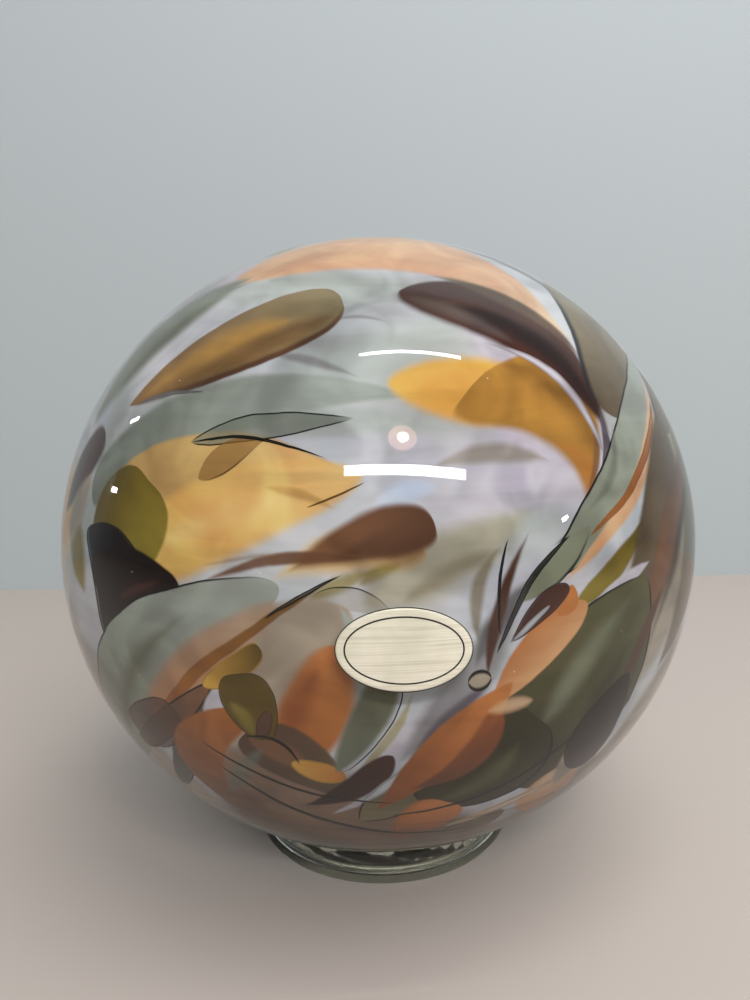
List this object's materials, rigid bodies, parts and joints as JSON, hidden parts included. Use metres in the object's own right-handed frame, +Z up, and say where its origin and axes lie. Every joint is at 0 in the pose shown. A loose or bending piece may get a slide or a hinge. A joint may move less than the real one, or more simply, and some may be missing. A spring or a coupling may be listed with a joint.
{
  "type": "glass float ball",
  "caption": "Blown art-glass float ball with swirled colour patches under clear glass, resting on a clear glass ring stand.",
  "frame": {"origin": "centre of the glass ring's foot, on the surface that it stands on", "axes": "+Z up through the middle of the ring and the ball, -Y towards the labelled front, +X to the right seen from the front"},
  "size_m": [0.15, 0.1506, 0.148],
  "materials": {
    "cased_glass": "polished clear casing over milky white glass with soft patches of amber, orange, olive, grey-green, smoke and plum",
    "clear_glass": "clear glass with a slight green tint, fire-polished, faintly rippled",
    "label_foil": "pale champagne foil, brushed lengthways, with a thin black oval keyline"
  },
  "bodies": {
    "root": {"float_ball": "cased_glass", "glass_ring": "clear_glass", "foil_label": "label_foil"}
  },
  "joints": []
}
